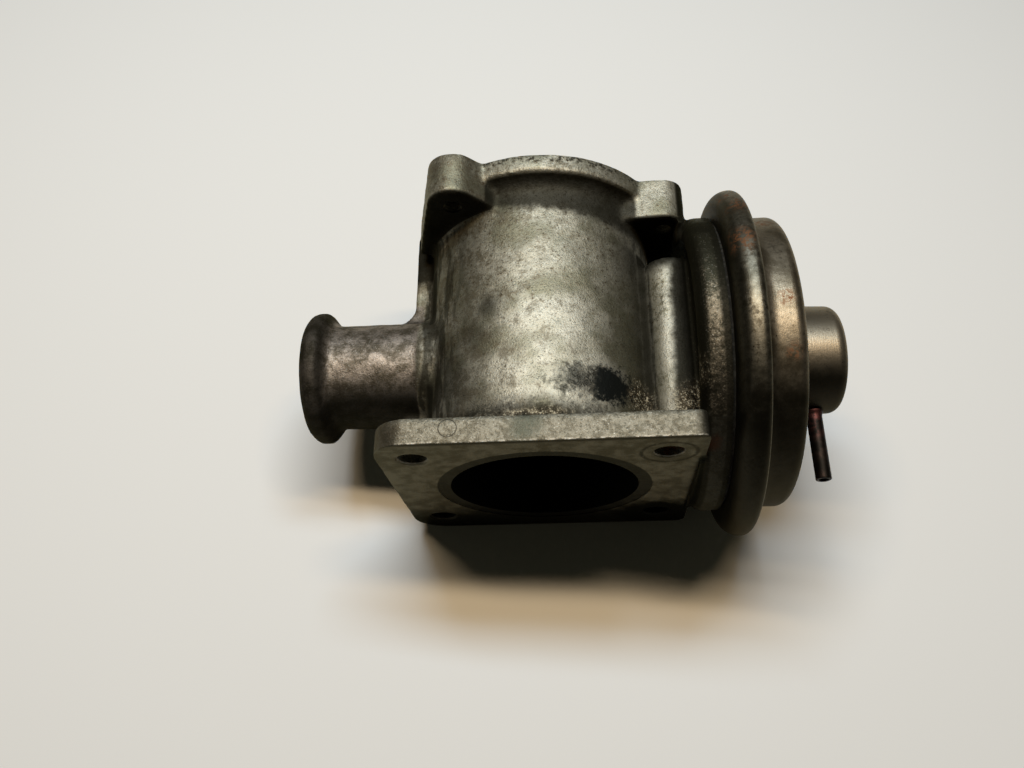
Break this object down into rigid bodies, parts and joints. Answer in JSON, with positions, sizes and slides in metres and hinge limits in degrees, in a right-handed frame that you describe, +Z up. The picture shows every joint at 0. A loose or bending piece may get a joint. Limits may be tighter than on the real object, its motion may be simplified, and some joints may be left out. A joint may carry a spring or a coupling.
{
  "type": "exhaust gas recirculation valve",
  "caption": "Vacuum-operated exhaust gas recirculation valve: cast intake tube with flanges, side exhaust neck, and a sheet steel diaphragm can that pulls a poppet off its seat.",
  "frame": {"origin": "centre of the intake bore on the manifold flange's sealing face", "axes": "+X along the valve stem towards the vacuum actuator; +Y along the intake tube towards the hose flange; +Z up, towards the side with the longer flank between two lugs"},
  "size_m": [0.1458, 0.0946, 0.0946],
  "materials": {
    "cast_aluminium": "matt cast, weathered",
    "plated_steel": "satin, pressed sheet",
    "steel": "satin, turned",
    "spring_steel": "satin wire",
    "tube_steel": "dull, darkened",
    "bronze": "satin, turned",
    "graphite": "dull",
    "fibre": "dull fibre",
    "rubber": "matt"
  },
  "bodies": {
    "housing": {"housing": "cast_aluminium", "exhaust_neck": "cast_aluminium", "actuator_dish": "cast_aluminium", "screw_lugs": "cast_aluminium", "seat_ring": "steel", "guide_bush": "bronze", "dirt_shield": "steel", "stem_scraper": "graphite", "stem_seal": "rubber", "seal_retainer": "steel", "heat_gasket": "fibre", "lower_pan": "plated_steel", "pan_screws": "steel", "diaphragm": "rubber", "return_spring": "spring_steel", "spring_seat": "steel", "cover": "plated_steel", "vacuum_nipple": "tube_steel"},
    "valve": {"valve_disc": "steel", "valve_stem": "steel", "backing_plate": "steel", "piston_cup": "plated_steel", "stem_washer": "steel", "stem_nut": "steel"}
  },
  "joints": [
    {"name": "valve_lift", "type": "slide", "parent": "housing", "child": "valve", "axis": [1, 0, 0], "range_m": [0, 0.006], "stiffness_N_per_m": 2700, "springref_m": -0.004, "deforming": ["return_spring", "diaphragm"]}
  ]
}
